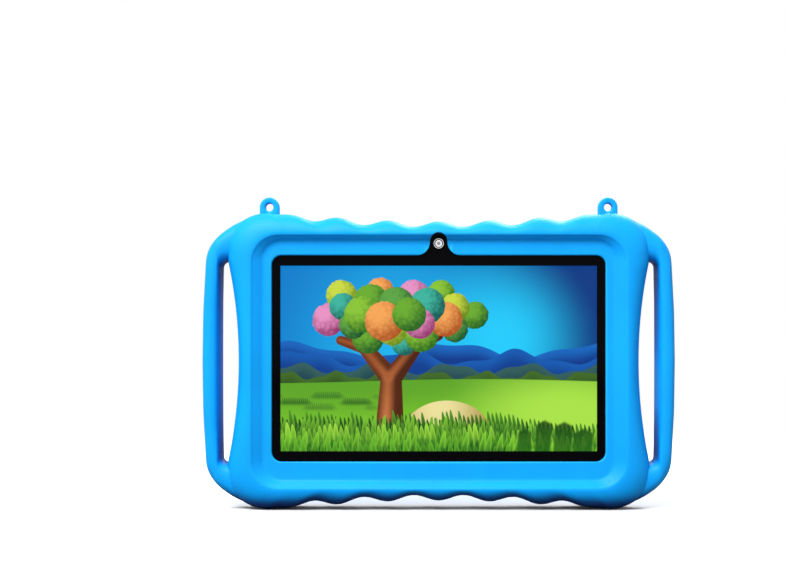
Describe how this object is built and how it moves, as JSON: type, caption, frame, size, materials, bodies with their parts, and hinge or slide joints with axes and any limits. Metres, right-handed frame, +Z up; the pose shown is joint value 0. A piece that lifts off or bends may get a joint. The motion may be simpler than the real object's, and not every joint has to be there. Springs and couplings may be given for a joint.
{
  "type": "kids tablet in a bumper case",
  "caption": "Small tablet in a soft scalloped bumper case with side grab handles, strap lugs, a rear camera opening and a fold-out kickstand.",
  "frame": {"origin": "bottom centre of the overall box, at the lowest point of the case's corner bulges", "axes": "+X to the right seen from the screen side, +Y towards the rear, +Z up; the screen faces -Y"},
  "size_m": [0.2308, 0.028, 0.1524],
  "materials": {
    "blue_silicone": "satin moulded silicone",
    "blue_plastic": "satin moulded plastic",
    "pin_steel": "drawn wire",
    "cover_glass": "polished, black printed border",
    "black_tape": "foam tape",
    "display": "polished, shows a picture",
    "backlight": "white film",
    "tray_steel": "pressed sheet",
    "black_housing": "fine texture",
    "navy_plastic": "fine texture",
    "screw_steel": "blackened",
    "circuit_board": "solder mask",
    "chip_black": "moulded package",
    "module_metal": "plated",
    "flex_amber": "polyimide film",
    "battery_foil": "matt foil pouch",
    "wire_black": "insulated wire",
    "wire_red": "insulated wire",
    "lens_glass": "coated lens",
    "black_window": "polished",
    "bright_trim": "polished",
    "led_lens": "clear dome",
    "plunger_white": "plain"
  },
  "bodies": {
    "tablet": {"silicone_case": "blue_silicone", "kickstand_frame": "blue_plastic", "kickstand_pin": "pin_steel", "cover_glass": "cover_glass", "touch_adhesive": "black_tape", "display_gasket": "black_tape", "battery_tape": "black_tape", "display_panel": "display", "backlight_unit": "backlight", "display_tray": "tray_steel", "shield_can": "tray_steel", "front_housing": "black_housing", "rear_cover": "navy_plastic", "housing_screws": "screw_steel", "board_screws": "screw_steel", "mainboard": "circuit_board", "board_chips": "chip_black", "front_camera_module": "chip_black", "rear_camera_module": "chip_black", "power_switch": "chip_black", "volume_up_switch": "chip_black", "volume_down_switch": "chip_black", "headphone_jack": "chip_black", "speaker": "chip_black", "wifi_module": "module_metal", "usb_port": "module_metal", "microsd_socket": "module_metal", "microphone": "module_metal", "display_flex": "flex_amber", "touch_flex": "flex_amber", "wifi_antenna": "flex_amber", "battery": "battery_foil", "antenna_cable": "wire_black", "battery_leads": "wire_red", "speaker_leads": "wire_red", "front_camera_lens": "lens_glass", "rear_camera_lens": "lens_glass", "rear_camera_window": "black_window", "rear_camera_trim": "bright_trim", "front_camera_ring": "bright_trim", "flash_led": "led_lens"},
    "kickstand": {"kickstand_leg": "blue_plastic"},
    "power_key": {"power_button": "navy_plastic", "power_plunger": "plunger_white"},
    "volume_down_key": {"volume_down_button": "navy_plastic", "volume_down_plunger": "plunger_white"},
    "volume_up_key": {"volume_up_button": "navy_plastic", "volume_up_plunger": "plunger_white"}
  },
  "joints": [
    {"name": "kickstand_hinge", "type": "hinge", "parent": "tablet", "child": "kickstand", "pos_m": [0, 0.0111, 0.0981], "axis": [1, 0, 0], "range_deg": [0, 55]},
    {"name": "power_press", "type": "slide", "parent": "tablet", "child": "power_key", "axis": [0, 0, -1], "range_m": [0, 0.0003]},
    {"name": "volume_down_press", "type": "slide", "parent": "tablet", "child": "volume_down_key", "axis": [0, 0, -1], "range_m": [0, 0.0003]},
    {"name": "volume_up_press", "type": "slide", "parent": "tablet", "child": "volume_up_key", "axis": [0, 0, -1], "range_m": [0, 0.0003]}
  ]
}
